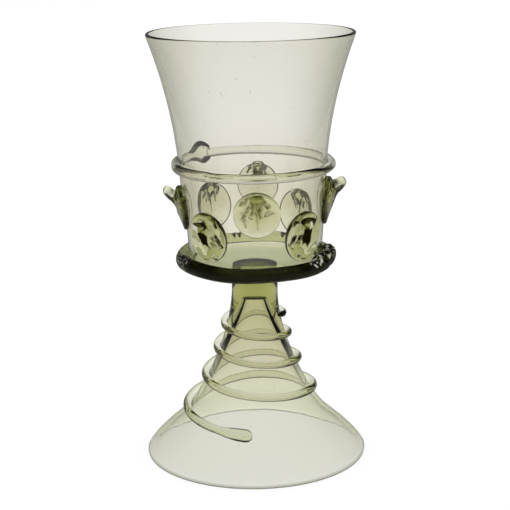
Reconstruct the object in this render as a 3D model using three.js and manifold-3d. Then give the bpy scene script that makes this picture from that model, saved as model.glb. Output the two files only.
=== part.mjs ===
import * as THREE from "three";
import { mergeVertices } from "three/addons/utils/BufferGeometryUtils.js";
import Module from "manifold-3d";

// A stemmed drinking glass in the manner of old forest glass, made of thirteen pieces of pale
// olive glass. A flared bowl stands on a hollow trumpet foot. A thread, a collar, a winding
// trail and eight pulled prunts are laid on them hot.
// Millimetres, +Z up, the front towards -Y. The origin is the middle of the foot's resting
// ring. An azimuth is in degrees from the front, growing towards +X.

// Every lathe and ring is cut into this many facets, and neighbouring pieces, which are fused
// on the real glass, stay this far apart.
const facets = 48;
const clearance = 0.3;

// Foot: a solid stem that opens into a hollow cone and then into a drooping skirt.
const footHeight = 87.2;
const stemRadius = 10.8;
const stemLength = 7.2;
const stemFlareReach = 21.9;
const skirtRadius = 35.2;
const skirtHeight = 18.5;
const skirtSlope = 44;
const coneReach = 13.5;
const skirtReach = 4.8;
const footRadius = 52.3;
const footEdgeHeight = 1.2;
const footEdgeSlope = 61;
const footEdgeReach = 6;
const footEdgeRound = 0.8;
const footWall = 2.1;
const coneWall = 3.1;
const coneWallHeight = 50;
const stemSolid = 10.7;
const cavityTopRadius = 4.2;
const cavityShoulder = 1.6;
const cavitySlope = 105;

// Bowl: a thick floor that turns up into the wall at its heel, a nearly straight lower wall up
// to the thread, then a flared mouth.
const bowlHeight = 112.5;
const padMargin = 1.5;
const baseRadius = 31.2;
const baseCorner = 6.8;
const floorWall = 4.9;
const floorDish = 1.6;
const heelRise = 2.4;
const heelRound = 1.8;
const heelSlope = 10;
const lowWall = 1.5;
const sideWall = 1.15;
const rimWall = 1.6;
const waistRadius = 34.25;
const waistRise = 52;
const waistSlope = 88.4;
const lowerReach = 16.5;
const rimRadius = 47.6;
const rimReach = 2.2;
const rimSlope = 79;
const flareSlope = 85.4;
const flareReach = 33.6;

// Thread round the bowl's waist, a little lower in front than at the back, with the leaf-shaped
// blob where its end is laid over its start.
const threadWidth = 4.3;
const threadProud = 3.7;
const threadTilt = 0.55;
const threadSides = 8;
const blobAzimuth = -132.5;
const blobLength = 14;
const blobHeight = 10.4;
const blobProud = 4.6;
const blobRise = 1.2;

// Collar round the bowl's lower corner, with its crimped end on the right.
const collarProud = 6.1;
const collarWidth = 6.8;
const collarRise = 7;
const collarThick = 3.4;
const collarWaver = 0.2;
const collarWavers = 5;
const collarSides = 8;
const crimpProud = 0.5;
const crimps = [
  { azimuth: 65, radius: 3.5, lift: 0.7 },
  { azimuth: 76, radius: 4.2, lift: 1.5 },
  { azimuth: 89, radius: 4.4, lift: 1.1 },
];

// Prunts: drops of glass pressed on the bowl, each pulled up and out into a nose. The upper row
// hangs below the thread and the lower row sits above the collar, each by its own gap.
const pruntRadius = 10.5;
const noseWidth = 5.6;
const finWidth = 3.6;
const upperPrunts = [
  { name: "front", azimuth: 2, gap: 4.7, size: 1.01 },
  { name: "right", azimuth: 90, gap: 4.4, size: 1.06 },
  { name: "back", azimuth: 176.5, gap: 3.7, size: 0.98 },
  { name: "left", azimuth: -90, gap: 7.8, size: 0.99 },
];
const lowerPrunts = [
  { name: "front_right", azimuth: 43.5, gap: 0.35, size: 1.01, sag: 1.4, lean: -2.6 },
  { name: "front_left", azimuth: -42, gap: 0.35, size: 1.01, sag: 3, lean: 0.6 },
  { name: "back_right", azimuth: 139, gap: 1.4, size: 0.98, sag: 1.5, lean: 1 },
  { name: "back_left", azimuth: -140.5, gap: 5.2, size: 0.98, sag: 1.5, lean: -1 },
];

// How tall the disc is for its width, how far the nose is drawn out and how broad it is. The
// lower row's prunts are taller, and their noses are shorter, broader, sag and lean to a side.
const upperRow = { tall: 1, pull: 1, nose: 1 };
const lowerRow = { tall: 1.1, pull: 0.78, nose: 1.4 };

// Trail wound down the foot, four turns less a little, ending in a flattened drop at the front.
const trailDrop = 18;
const trailPitch = 9.78;
const trailSpread = 0.9;
const trailDip = 0.75;
const trailStart = 62;
const trailTurns = 3.82;
const trailWidthTop = 3;
const trailWidthEnd = 4.2;
const trailProudTop = 2.7;
const trailProudEnd = 3.3;
const dropTurns = 0.05;
const dropWidth = 6.7;
const tipTurns = 0.013;
const startTurns = 0.06;
const startDip = 1.2;
const startDipTurns = 0.4;
const trailStepsPerTurn = 32;
const dropSteps = 12;
const trailSides = 8;

// The glass was worked by hand, so its middle stands a little to the right of its axis.
const swayAmount = 0.85;
const swayRise = 19.5;
const swayReach = 25;

const bowlBottom = footHeight + clearance;
const rimHeight = bowlBottom + bowlHeight;
const waistHeight = bowlBottom + waistRise;
const threadUnderside = waistHeight - threadWidth / 2;
const collarTop = bowlBottom + collarRise + collarWidth / 2 + collarWaver;
const cavityTop = footHeight - stemSolid;
const radians = THREE.MathUtils.degToRad;

// A vector in a profile's half plane: x is the distance from the axis and y the height.
function at(radius, height) {
  return new THREE.Vector2(radius, height);
}

// The direction that rises at an angle above the horizontal, away from the axis.
function rising(degrees) {
  return at(Math.cos(radians(degrees)), Math.sin(radians(degrees)));
}

// A cubic curve between two points that leaves the first and reaches the last along set
// directions.
function bend(start, startWay, startReach, end, endWay, endReach, steps) {
  const first = start.clone().addScaledVector(startWay, startReach);
  const second = end.clone().addScaledVector(endWay, -endReach);
  return new THREE.CubicBezierCurve(start, first, second, end).getPoints(steps);
}

// The same outline moved inwards along its own normals, by a thickness that may vary with the
// height. The outline runs upwards with the material on its left.
function inset(outline, thicknessAt) {
  return outline.map((point, i) => {
    const before = outline[Math.max(i - 1, 0)];
    const after = outline[Math.min(i + 1, outline.length - 1)];
    const way = after.clone().sub(before).normalize();
    const thickness = thicknessAt(point.y);
    return at(point.x - way.y * thickness, point.y + way.x * thickness);
  });
}

// The radius of an upward outline at a height.
function radiusOf(outline, height) {
  let i = 1;
  while (i < outline.length - 1 && outline[i].y < height) i += 1;
  const low = outline[i - 1];
  const high = outline[i];
  const share = (height - low.y) / (high.y - low.y);
  return low.x + (high.x - low.x) * share;
}

function lathe(profile) {
  const geometry = new THREE.LatheGeometry(profile, facets);
  geometry.rotateX(Math.PI / 2);
  return geometry;
}

// Foot outlines, both from the resting ring upwards.
function footOuter() {
  const edge = at(footRadius, footEdgeHeight);
  const skirt = at(skirtRadius, skirtHeight);
  const stem = at(stemRadius, footHeight - stemLength);
  const inwards = rising(180 - skirtSlope);
  const edgeWay = rising(180 - footEdgeSlope);
  const lower = bend(edge, edgeWay, footEdgeReach, skirt, inwards, skirtReach, 5);
  const upper = bend(skirt, inwards, coneReach, stem, rising(90), stemFlareReach, 8);
  return [...lower, ...upper.slice(1), at(stemRadius, footHeight)];
}

function footWallAt(height) {
  const share = Math.min(height / coneWallHeight, 1);
  return footWall + (coneWall - footWall) * share ** 2;
}

function footInner(outer) {
  const lowerCone = outer.filter((point) => point.y < coneWallHeight);
  const wall = inset(lowerCone, footWallAt);
  const last = wall[wall.length - 1];
  const way = last.clone().sub(wall[wall.length - 2]).normalize();
  const shoulder = at(cavityTopRadius, cavityTop - cavityShoulder);
  const reach = (shoulder.y - last.y) / 3;
  const cone = bend(last, way, reach, shoulder, rising(cavitySlope), reach, 4);
  const crown = bend(shoulder, rising(cavitySlope), cavityShoulder * 0.7, at(0, cavityTop), rising(180),
    cavityTopRadius * 0.85, 4);
  return [...wall, ...cone.slice(1), ...crown.slice(1)];
}

const footSide = footOuter();

function footGeometry() {
  const inner = footInner(footSide);
  inner[0] = at(footRadius - footWall - footEdgeRound / 4, footEdgeHeight);
  const ring = [at(footRadius - footWall, 0), at(footRadius - footEdgeRound, 0)];
  return lathe([...inner.reverse(), ...ring, ...footSide, at(0, footHeight)]);
}

// Bowl outline: a flat pad over the stem, the dished underside, the lower wall and the flared
// mouth.
function bowlOuter(grow) {
  const pad = at(stemRadius + padMargin, bowlBottom - grow);
  const corner = at(baseRadius + grow, bowlBottom + baseCorner);
  const waist = at(waistRadius + grow, waistHeight);
  const rim = at(rimRadius + grow, rimHeight - 0.6 * rimWall);
  const floorReach = (baseRadius - stemRadius) * 0.75;
  const dished = at(floorReach, floorDish).normalize();
  const floor = bend(pad, dished, floorReach, corner, rising(90), baseCorner * 0.8, 5);
  const lower = bend(corner, rising(90), lowerReach, waist, rising(waistSlope), lowerReach, 4);
  const mouth = bend(waist, rising(flareSlope), flareReach, rim, rising(rimSlope), rimReach, 7);
  return [pad, ...floor.slice(1), ...lower.slice(1), ...mouth.slice(1)];
}

const bowlSide = bowlOuter(0);

function bowlWallAt(height) {
  const share = (height - bowlBottom) / bowlHeight;
  const middle = 2 * sideWall - (lowWall + rimWall) / 2;
  return lowWall * (1 - share) ** 2 + 2 * middle * share * (1 - share) + rimWall * share ** 2;
}

// The inside of the bowl, from the middle of its floor over the heel and up the wall.
function bowlInner() {
  const heelHeight = bowlBottom + floorWall + heelRise;
  const side = inset(bowlSide, bowlWallAt);
  const wall = side.filter((point) => point.y > heelHeight + heelRound);
  const heel = at(wall[0].x - heelRound, heelHeight);
  const middle = at(0, bowlBottom + floorWall);
  const way = rising(heelSlope);
  const round = 0.7 * heelRound;
  const floor = bend(middle, rising(0), heel.x / 3, heel, way, heel.x / 3, 5);
  const corner = bend(heel, way, round, wall[0], rising(90), round, 3);
  return [...floor, ...corner.slice(1), ...wall.slice(1)];
}

function bowlGeometry() {
  const inner = bowlInner();
  const outerEnd = bowlSide[bowlSide.length - 1];
  const innerEnd = inner[inner.length - 1];
  const middle = outerEnd.clone().add(innerEnd).multiplyScalar(0.5);
  const spoke = outerEnd.clone().sub(middle);
  const lip = [45, 90, 135].map((turn) => middle.clone().add(
    spoke.clone().rotateAround(at(0, 0), radians(turn))));
  return lathe([at(0, bowlBottom), ...bowlSide, ...lip, ...inner.reverse()]);
}

// A point that lies off the bowl's wall: across and up from a place on it, and out from it.
function onBowl(azimuth, height, across, up, out) {
  const z = height + up;
  const wall = radiusOf(bowlSide, z) + clearance;
  const angle = radians(azimuth) + across / wall;
  const r = wall + out;
  return new THREE.Vector3(r * Math.sin(angle), -r * Math.cos(angle), z);
}

// A closed skin over rings of points. Without an end it joins the last ring to the first, and
// otherwise it closes both ends on the rings' own middles.
function skin(rings, endless) {
  const sides = rings[0].length;
  const points = rings.flat();
  const faces = [];
  const spans = endless ? rings.length : rings.length - 1;
  for (let ring = 0; ring < spans; ring += 1) {
    const next = (ring + 1) % rings.length;
    for (let side = 0; side < sides; side += 1) {
      const a = ring * sides + side;
      const b = ring * sides + ((side + 1) % sides);
      const c = next * sides + ((side + 1) % sides);
      const d = next * sides + side;
      faces.push(a, c, b, a, d, c);
    }
  }
  if (!endless) {
    const caps = [rings[0], rings[rings.length - 1]];
    caps.forEach((ring, cap) => {
      const middle = new THREE.Vector3();
      ring.forEach((point) => middle.addScaledVector(point, 1 / sides));
      points.push(middle);
      const centre = points.length - 1;
      const first = cap === 0 ? 0 : (rings.length - 1) * sides;
      for (let side = 0; side < sides; side += 1) {
        const a = first + side;
        const b = first + ((side + 1) % sides);
        faces.push(...(cap === 0 ? [centre, a, b] : [centre, b, a]));
      }
    });
  }
  const geometry = new THREE.BufferGeometry().setFromPoints(points);
  geometry.setIndex(faces);
  return geometry;
}

// The section of glass laid on a surface: round outside and flat where it lies. Angle zero is
// its crest.
function laidSection(width, proud, angle) {
  const contact = 0.75;
  const across = (width / 2) * Math.sin(angle);
  const out = proud * Math.max(0, (Math.cos(angle) + contact) / (1 + contact));
  return { across, out };
}

// Solids for joins and cuts.
const wasm = await Module();
wasm.setup();

function solid(geometry) {
  const bare = geometry.clone();
  bare.deleteAttribute("normal");
  bare.deleteAttribute("uv");
  const merged = mergeVertices(bare, 0.001);
  return new wasm.Manifold(new wasm.Mesh({
    numProp: 3,
    vertProperties: new Float32Array(merged.attributes.position.array),
    triVerts: new Uint32Array(merged.index.array),
  }));
}

function shapeOf(made) {
  const mesh = made.getMesh();
  const geometry = new THREE.BufferGeometry();
  geometry.setAttribute("position", new THREE.BufferAttribute(mesh.vertProperties, 3));
  geometry.setIndex(new THREE.BufferAttribute(mesh.triVerts, 1));
  return geometry;
}

// A ball whose vertices are moved to new places. The mover gets how far a vertex is from the
// ball's front pole, 0 to 1, and its angle round that pole, 0 at the top.
function mouldedBall(sides, rings, mover) {
  const ball = new THREE.SphereGeometry(1, sides, rings);
  const place = ball.getAttribute("position");
  for (let i = 0; i < place.count; i += 1) {
    const share = Math.acos(THREE.MathUtils.clamp(place.getY(i), -1, 1)) / Math.PI;
    const angle = Math.atan2(-place.getX(i), place.getZ(i));
    const moved = mover(share, angle);
    place.setXYZ(i, moved.x, moved.y, moved.z);
  }
  return ball;
}

function threadHeight(azimuth) {
  return waistHeight - threadTilt * Math.cos(radians(azimuth));
}

function threadGeometry() {
  const rings = [];
  for (let step = 0; step < facets; step += 1) {
    const azimuth = (step / facets) * 360;
    const ring = [];
    for (let side = 0; side < threadSides; side += 1) {
      const turn = (side / threadSides) * 2 * Math.PI;
      const { across, out } = laidSection(threadWidth, threadProud, turn);
      ring.push(onBowl(azimuth, threadHeight(azimuth), 0, across, out));
    }
    rings.push(ring);
  }
  const blob = mouldedBall(16, 10, (share, angle) => {
    const spread = Math.sin(share * Math.PI);
    const out = blobProud * Math.max(0, Math.cos(share * Math.PI));
    const across = (blobLength / 2) * spread * Math.sin(angle);
    const up = (blobHeight / 2) * spread * Math.cos(angle);
    return onBowl(blobAzimuth, threadHeight(blobAzimuth) + blobRise, across, up, out);
  });
  return shapeOf(solid(skin(rings, true)).add(solid(blob)));
}

function collarGeometry() {
  const height = bowlBottom + collarRise;
  const rings = [];
  for (let step = 0; step < facets; step += 1) {
    const turn = (step / facets) * 2 * Math.PI;
    const waver = collarWaver * Math.sin(collarWavers * turn);
    const middle = baseRadius + collarProud - collarThick + waver / 2;
    const ring = [];
    for (let side = 0; side < collarSides; side += 1) {
      const angle = (side / collarSides) * 2 * Math.PI;
      const r = middle + collarThick * Math.cos(angle);
      const z = height + waver + (collarWidth / 2) * Math.sin(angle);
      ring.push(new THREE.Vector3(r * Math.sin(turn), -r * Math.cos(turn), z));
    }
    rings.push(ring);
  }
  let made = solid(skin(rings, true));
  for (const { azimuth, radius, lift } of crimps) {
    const turn = radians(azimuth);
    const crimp = new THREE.SphereGeometry(radius, 12, 8);
    const r = baseRadius + collarProud + crimpProud - radius;
    crimp.translate(r * Math.sin(turn), -r * Math.cos(turn), height + lift);
    made = made.add(solid(crimp));
  }
  const bowlRoom = bowlOuter(clearance);
  const top = bowlRoom[bowlRoom.length - 1].y;
  const room = lathe([at(0, bowlRoom[0].y), ...bowlRoom, at(0, top)]);
  return shapeOf(made.subtract(solid(room)));
}

// A prunt seen from its side: the lower and the upper edge of each ring of its skin, from the
// disc's edge on the wall to the tip of the nose, x upwards and y outwards. The nose is set
// from the disc's top, and each ring has its half width.
const pruntLower = new THREE.SplineCurve([
  at(-pruntRadius, 0), at(0.3 - pruntRadius, 0.8), at(3 - pruntRadius, 1.6),
  at(7.5 - pruntRadius, 3.1), at(pruntRadius - 8.7, 4.7), at(pruntRadius - 5.9, 6.9),
  at(pruntRadius - 3.5, 8.4), at(pruntRadius - 1.8, 8.3), at(pruntRadius - 0.7, 7.6),
]);
const pruntUpper = new THREE.SplineCurve([
  at(pruntRadius, 0), at(pruntRadius - 0.1, 1.3), at(pruntRadius - 0.9, 2.2),
  at(pruntRadius - 1.9, 2.6), at(pruntRadius - 2.1, 2.8), at(pruntRadius - 1.2, 3.6),
  at(pruntRadius - 0.3, 5), at(pruntRadius - 0.1, 6.6), at(pruntRadius - 0.7, 7.6),
]);
const pruntHalfWidth = new THREE.SplineCurve([
  at(pruntRadius, 0), at(pruntRadius - 0.15, 0), at(pruntRadius - 1.5, 0),
  at(pruntRadius * 0.52, 0), at(finWidth * 0.68, 0), at(finWidth * 0.6, 0),
  at(noseWidth * 0.46, 0), at(noseWidth * 0.36, 0), at(0, 0),
]);

function pruntGeometry({ azimuth, size, sag = 0, lean = 0 }, height, { tall, pull, nose }) {
  const { lerp, smoothstep } = THREE.MathUtils;
  const front = 0.8;
  return mouldedBall(18, 10, (share, angle) => {
    let up = 0;
    let out = 0;
    let across = 0;
    let skew = 0;
    if (share <= front) {
      const along = 1 - share / front;
      const lower = pruntLower.getPoint(along);
      const upper = pruntUpper.getPoint(along);
      const middle = lower.clone().add(upper).multiplyScalar(0.5);
      const half = upper.sub(lower).multiplyScalar(0.5);
      const drawn = smoothstep(along, 0.5, 0.75);
      up = middle.x + half.x * Math.cos(angle) - sag * drawn;
      out = Math.max(0, middle.y + half.y * Math.cos(angle)) * lerp(1, pull, drawn);
      across = Math.max(0, pruntHalfWidth.getPoint(along).x) * Math.sin(angle);
      across *= lerp(1, nose, drawn);
      skew = lean * smoothstep(along, 0.25, 0.75);
    } else {
      const reach = pruntRadius * ((1 - share) / (1 - front));
      up = reach * Math.cos(angle);
      across = reach * Math.sin(angle);
    }
    return onBowl(azimuth, height, across * size + skew, up * size * tall, out * size);
  });
}

// The trail's middle line on the cone, by turns from its start.
function trailAt(turns) {
  const azimuth = trailStart + 360 * turns;
  const dip = trailDip * Math.cos(radians(azimuth));
  const first = startDip * (1 - THREE.MathUtils.smoothstep(turns, 0, startDipTurns));
  const fallen = trailDrop + trailPitch * turns + trailSpread * turns ** 2 + dip + first;
  return { azimuth, z: footHeight - fallen };
}

function onFoot(azimuth, z, out) {
  const step = 0.5;
  const r = radiusOf(footSide, z);
  const way = at(radiusOf(footSide, z + step) - radiusOf(footSide, z - step), 2 * step);
  way.normalize();
  const off = clearance + out;
  const radius = r + way.y * off;
  const angle = radians(azimuth);
  return new THREE.Vector3(radius * Math.sin(angle), -radius * Math.cos(angle), z - way.x * off);
}

// How wide and how proud the trail is: it starts blunt, swells slowly and ends in the drop.
function trailSize(turns) {
  const share = turns / trailTurns;
  const left = Math.max(trailTurns - turns, 0);
  const start = Math.sqrt(Math.max(0.04, 1 - (1 - Math.min(turns / startTurns, 1)) ** 2));
  const tip = Math.sqrt(Math.max(0.04, 1 - (1 - Math.min(left / tipTurns, 1)) ** 2));
  const drop = THREE.MathUtils.smoothstep(-left, -1.6 * dropTurns, -0.4 * dropTurns);
  const plain = THREE.MathUtils.lerp(trailWidthTop, trailWidthEnd, share);
  const width = THREE.MathUtils.lerp(plain, dropWidth, drop) * start * tip;
  const proud = THREE.MathUtils.lerp(trailProudTop, trailProudEnd, share) * start * tip;
  return { width, proud };
}

// The turns at which the trail has a ring: even steps, and closer ones at its start and along
// the drop.
function trailStations() {
  const stations = [0, 0.2 * startTurns, 0.5 * startTurns];
  const dropStart = trailTurns - 2 * dropTurns;
  const steps = Math.round((dropStart - startTurns) * trailStepsPerTurn);
  for (let step = 0; step < steps; step += 1) {
    stations.push(startTurns + (step / steps) * (dropStart - startTurns));
  }
  for (let step = 0; step <= dropSteps; step += 1) {
    stations.push(dropStart + Math.sin((step / dropSteps) * Math.PI / 2) * 2 * dropTurns);
  }
  return stations;
}

function trailRing(turns, width, proud) {
  const { azimuth, z } = trailAt(turns);
  const ahead = trailAt(turns + 0.01);
  const here = onFoot(azimuth, z, 0);
  const way = onFoot(ahead.azimuth, ahead.z, 0).sub(here).normalize();
  const out = onFoot(azimuth, z, 1).sub(here).normalize();
  const side = new THREE.Vector3().crossVectors(out, way).normalize();
  const ring = [];
  for (let corner = 0; corner < trailSides; corner += 1) {
    const section = laidSection(width, proud, (corner / trailSides) * 2 * Math.PI);
    const spot = here.clone().addScaledVector(side, section.across);
    const spotAzimuth = THREE.MathUtils.radToDeg(Math.atan2(spot.x, -spot.y));
    ring.push(onFoot(spotAzimuth, spot.z, section.out));
  }
  return { here, turns, width, ring };
}

// The least gap between two turns of the trail.
function leastGap(rings) {
  let least = Infinity;
  for (const one of rings) {
    for (const other of rings.filter((ring) => ring.turns - one.turns > 0.5)) {
      const gap = one.here.distanceTo(other.here) - (one.width + other.width) / 2;
      least = Math.min(least, gap);
    }
  }
  return least;
}

function trailGeometry() {
  const rings = trailStations().map((turns) => {
    const { width, proud } = trailSize(turns);
    return trailRing(turns, width, proud);
  });
  console.log(`foot trail: least gap to itself ${leastGap(rings).toFixed(1)} mm`);
  return skin(rings.map(({ ring }) => ring), false);
}

// Glass of one tint, for each piece by how thick it looks.
function glass(color, opacity) {
  return new THREE.MeshStandardMaterial({
    color,
    roughness: 0.04,
    metalness: 0,
    transparent: true,
    opacity,
  });
}

const goblet = new THREE.Group();

function place(name, geometry, material) {
  const points = geometry.getAttribute("position");
  for (let i = 0; i < points.count; i += 1) {
    const off = (points.getZ(i) - bowlBottom - swayRise) / swayReach;
    points.setX(i, points.getX(i) + swayAmount * Math.exp(-off * off));
  }
  geometry.computeVertexNormals();
  const mesh = new THREE.Mesh(geometry, material);
  mesh.name = name;
  goblet.add(mesh);
}

place("foot", footGeometry(), glass(0xd2d1b8, 0.5));
place("foot_trail", trailGeometry(), glass(0xc4c39c, 0.6));
place("bowl", bowlGeometry(), glass(0xdedccb, 0.4));
place("bowl_thread", threadGeometry(), glass(0xaeab82, 0.7));
place("collar", collarGeometry(), glass(0x2f2c12, 0.9));
for (const prunt of upperPrunts) {
  const height = threadUnderside - prunt.gap - pruntRadius * prunt.size * upperRow.tall;
  place(`prunt_upper_${prunt.name}`, pruntGeometry(prunt, height, upperRow), glass(0xb5b182, 0.7));
}
for (const prunt of lowerPrunts) {
  const height = collarTop + prunt.gap + pruntRadius * prunt.size * lowerRow.tall;
  place(`prunt_lower_${prunt.name}`, pruntGeometry(prunt, height, lowerRow), glass(0xb5b182, 0.7));
}

export default goblet;
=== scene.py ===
import bisect
import math
import random

import bmesh
import bpy
from mathutils import Matrix, Vector, noise


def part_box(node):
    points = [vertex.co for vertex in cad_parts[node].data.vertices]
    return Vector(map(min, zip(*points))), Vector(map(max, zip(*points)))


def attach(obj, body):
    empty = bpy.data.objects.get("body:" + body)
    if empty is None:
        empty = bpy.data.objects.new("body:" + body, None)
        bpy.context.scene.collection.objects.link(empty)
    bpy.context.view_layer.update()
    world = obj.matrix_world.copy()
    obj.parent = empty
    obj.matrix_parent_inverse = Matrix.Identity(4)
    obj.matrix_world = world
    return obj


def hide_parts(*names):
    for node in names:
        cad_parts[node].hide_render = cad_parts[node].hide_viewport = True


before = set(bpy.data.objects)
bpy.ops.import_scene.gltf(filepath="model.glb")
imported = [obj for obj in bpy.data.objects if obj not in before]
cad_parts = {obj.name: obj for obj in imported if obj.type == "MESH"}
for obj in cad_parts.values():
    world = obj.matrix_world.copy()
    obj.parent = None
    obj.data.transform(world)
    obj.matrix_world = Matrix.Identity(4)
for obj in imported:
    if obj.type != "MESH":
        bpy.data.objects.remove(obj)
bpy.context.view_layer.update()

# A hand-blown goblet of pale olive glass. Lengths are metres, written in millimetres times MM.
# The front is towards -Y. An azimuth is in degrees from the front, growing towards +X.
MM = 0.001

# With a set seed the noise is the same at each run.
noise.seed_set(1)

# How finely the pieces are cut: round the turned ones, over a rounded edge, and round and along
# the moulded ones.
FACETS = 192
ROUND_STEPS = 12
RING_STEPS = 540
THREAD_SIDES = 48
COLLAR_SIDES = 32
PRUNT_SIDES = 128
PRUNT_RINGS = 120
TRAIL_SIDES = 24
TRAIL_RINGS = 900

# The CAD's gap between neighbours, and how deep a laid piece sinks into the glass that carries
# it, as glass that was fused hot does.
GAP = 0.3 * MM
SUNK = 0.3 * MM

# Foot. A slope is in degrees above the horizontal, and a reach is how far a curve keeps to the
# direction of its start or end.
STEM_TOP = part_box("foot")[1][2]
STEM_RADIUS = 10.8 * MM
STEM_LENGTH = 7.2 * MM
STEM_FLARE_REACH = 21.9 * MM
SKIRT_RADIUS = 35.2 * MM
SKIRT_HEIGHT = 18.5 * MM
SKIRT_SLOPE = 44
CONE_REACH = 13.5 * MM
SKIRT_REACH = 4.8 * MM
FOOT_RADIUS = 52.3 * MM
FOOT_EDGE_HEIGHT = 1.2 * MM
FOOT_EDGE_SLOPE = 61
FOOT_EDGE_REACH = 6 * MM
FOOT_WALL = 2.1 * MM
FOOT_EDGE_WALL = 1.4 * MM
CONE_WALL = 3.1 * MM
CONE_WALL_HEIGHT = 50 * MM
STEM_SOLID = 10.7 * MM
CAVITY_TOP_RADIUS = 4.2 * MM
CAVITY_SHOULDER = 1.6 * MM
CAVITY_SLOPE = 105

# Bowl
BOWL_LOW, BOWL_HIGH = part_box("bowl")
BOWL_BOTTOM = BOWL_LOW[2]
BOWL_HEIGHT = BOWL_HIGH[2] - BOWL_BOTTOM
PAD_RADIUS = STEM_RADIUS + 1.5 * MM
BASE_RADIUS = 31.2 * MM
BASE_CORNER = 6.8 * MM
FLOOR_WALL = 4.9 * MM
FLOOR_DISH = 1.6 * MM
HEEL_RISE = 2.4 * MM
HEEL_ROUND = 1.8 * MM
HEEL_SLOPE = 10
LOW_WALL = 1.5 * MM
SIDE_WALL = 1.15 * MM
RIM_WALL = 1.6 * MM
WAIST_RADIUS = 34.25 * MM
WAIST_RISE = 52 * MM
WAIST_SLOPE = 88.4
LOWER_REACH = 16.5 * MM
RIM_RADIUS = 47.6 * MM
RIM_REACH = 2.2 * MM
RIM_SLOPE = 79
FLARE_SLOPE = 85.4
FLARE_REACH = 33.6 * MM

# Thread, and the blob where its end lies over its start. A pale painted highlight lies between
# its azimuths on both sides.
THREAD_WIDTH = 4.3 * MM
THREAD_PROUD = 3.7 * MM
THREAD_TILT = 0.55 * MM
THREAD_END_GLINT = (62, 112)
THREAD_FLAT = (-104, -29)
BLOB_TAIL = -115
BLOB_END = -144
BLOB_PROUD = 4.2 * MM
# How far the blob reaches up and down, in millimetres, at even steps from its tail to its end.
BLOB_REACH = (
    (2.15, 2.15), (2.5, 2.15), (3.6, 2.15), (5, 2.4), (6.3, 3.1), (6.7, 4), (6.1, 4.3),
    (4.9, 3.4), (3.2, 2.3),
)
BLOB_FINE_SPAN = 12
BLOB_FINE_SHARE = 0.2

# Collar. It is crushed from the crimp's start to its end. Pale painted highlights lie on it: a
# glint that starts a little before its crushed part and ends with it, and a streak on its left.
COLLAR_PROUD = 6.1 * MM
COLLAR_WIDTH = 6.8 * MM
COLLAR_RISE = 7 * MM
COLLAR_THICK = 3.4 * MM
COLLAR_WAVER = 0.2 * MM
COLLAR_WAVERS = 5
CRIMP_START = 50
CRIMP_END = 101
CRIMP_LIFT = 1.1 * MM
GLINT_START = 42
HIGHLIGHT_STREAK = (-108, -50)
COLLAR_TILT = 0.75 * MM
NOTCH_DEPTH = 0.3 * MM
# Each notch's azimuth, its spread in degrees and how far down it goes.
COLLAR_NOTCHES = (
    (-160.6, 2.4, 0.65), (-165.6, 2.4, 0.65), (153.8, 3.3, 0.7), (-176, 1.4, 0.3),
    (174.5, 1.4, 0.3),
)

# Prunts. The face is the share of a ball that becomes the front, and the rest lies on the wall.
# The noise scales are per metre, and a waver is in millimetres.
PRUNT_RADIUS = 10.5 * MM
PRUNT_FACE = 0.88
NOSE_WIDTH = 5.6 * MM
FIN_WIDTH = 3.6 * MM
MARK_DEPTH = 1 * MM
WAVER_SCALE = 500
WAVER = 0.9
RAGGED_SCALE = 260
LOWER_TALL = 1.1
LOWER_PULL = 0.78
LOWER_NOSE = 1.4
# The painted shade under each nose in front, a dark wedge: how far to the right it lies, and its
# slant's hand.
NOSE_SHADES = {"front_left": (-0.6 * MM, 1), "front_right": (0, -1)}
NOSE_SHADE_FOOT = -3.6 * MM
NOSE_SHADE_TOP = 6.7 * MM
NOSE_SHADE_FOOT_HALF = 1.3 * MM
NOSE_SHADE_TOP_HALF = 2.7 * MM
# The pincers' strokes, in millimetres: across and up of the start and the end, and the width.
UPPER_STROKES = (
    (-2.2, 8.3, -0.2, 8.3, 0.6), (-3.2, 8.9, -7, 5.2, 0.8), (1.4, 9, 4.7, 4.4, 0.8),
    (-1.4, 7.4, -2.3, 0.9, 0.6), (0.6, 6.4, 1.3, -0.4, 0.75), (-3.4, 4.2, -6, -0.6, 0.65),
    (-6.1, -0.8, -4.9, -5, 0.5),
)
FAR_STROKES = (
    (-3.6, 8.8, -2.4, 6.6, 0.6), (-3.2, 8, -3.6, 4.4, 0.75), (-0.9, 8.6, -0.7, 3.6, 0.8),
    (1.8, 8.4, 1.6, 2.4, 0.9), (3.8, 8.2, 5.2, 5, 0.6), (-1.9, 5.2, -1.7, 2.6, 0.5),
    (3, 4.6, 3.4, 1.6, 0.5),
)
LOWER_STROKES = (
    (4.2, 0.9, 5.3, -0.7, 0.5), (6.6, 1.3, 7.3, -1.2, 0.5), (4.4, -1.7, 5.8, -2.1, 0.4),
    (4, -7.8, 5.5, -8.3, 0.5), (5.4, 8.4, 7.2, 6.8, 0.6), (8.6, -2, 7.6, -4.6, 0.4),
)
# Each prunt's azimuth, its gap below the thread and its size.
UPPER_PRUNTS = {
    "front": (2, 4.7 * MM, 1.01),
    "right": (90, 4.4 * MM, 1.06),
    "back": (176.5, 3.7 * MM, 0.98),
    "left": (-90, 7.8 * MM, 0.99),
}
# Each prunt's azimuth, its gap above the collar, its size, and its nose's sag and lean.
LOWER_PRUNTS = {
    "front_right": (43.5, 0.35 * MM, 1.01, 1.4 * MM, -2.6 * MM),
    "front_left": (-42, 0.35 * MM, 1.01, 3 * MM, 0.6 * MM),
    "back_right": (139, 1.4 * MM, 0.98, 1.5 * MM, 1 * MM),
    "back_left": (-140.5, 5.2 * MM, 0.98, 1.5 * MM, -1 * MM),
}

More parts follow.
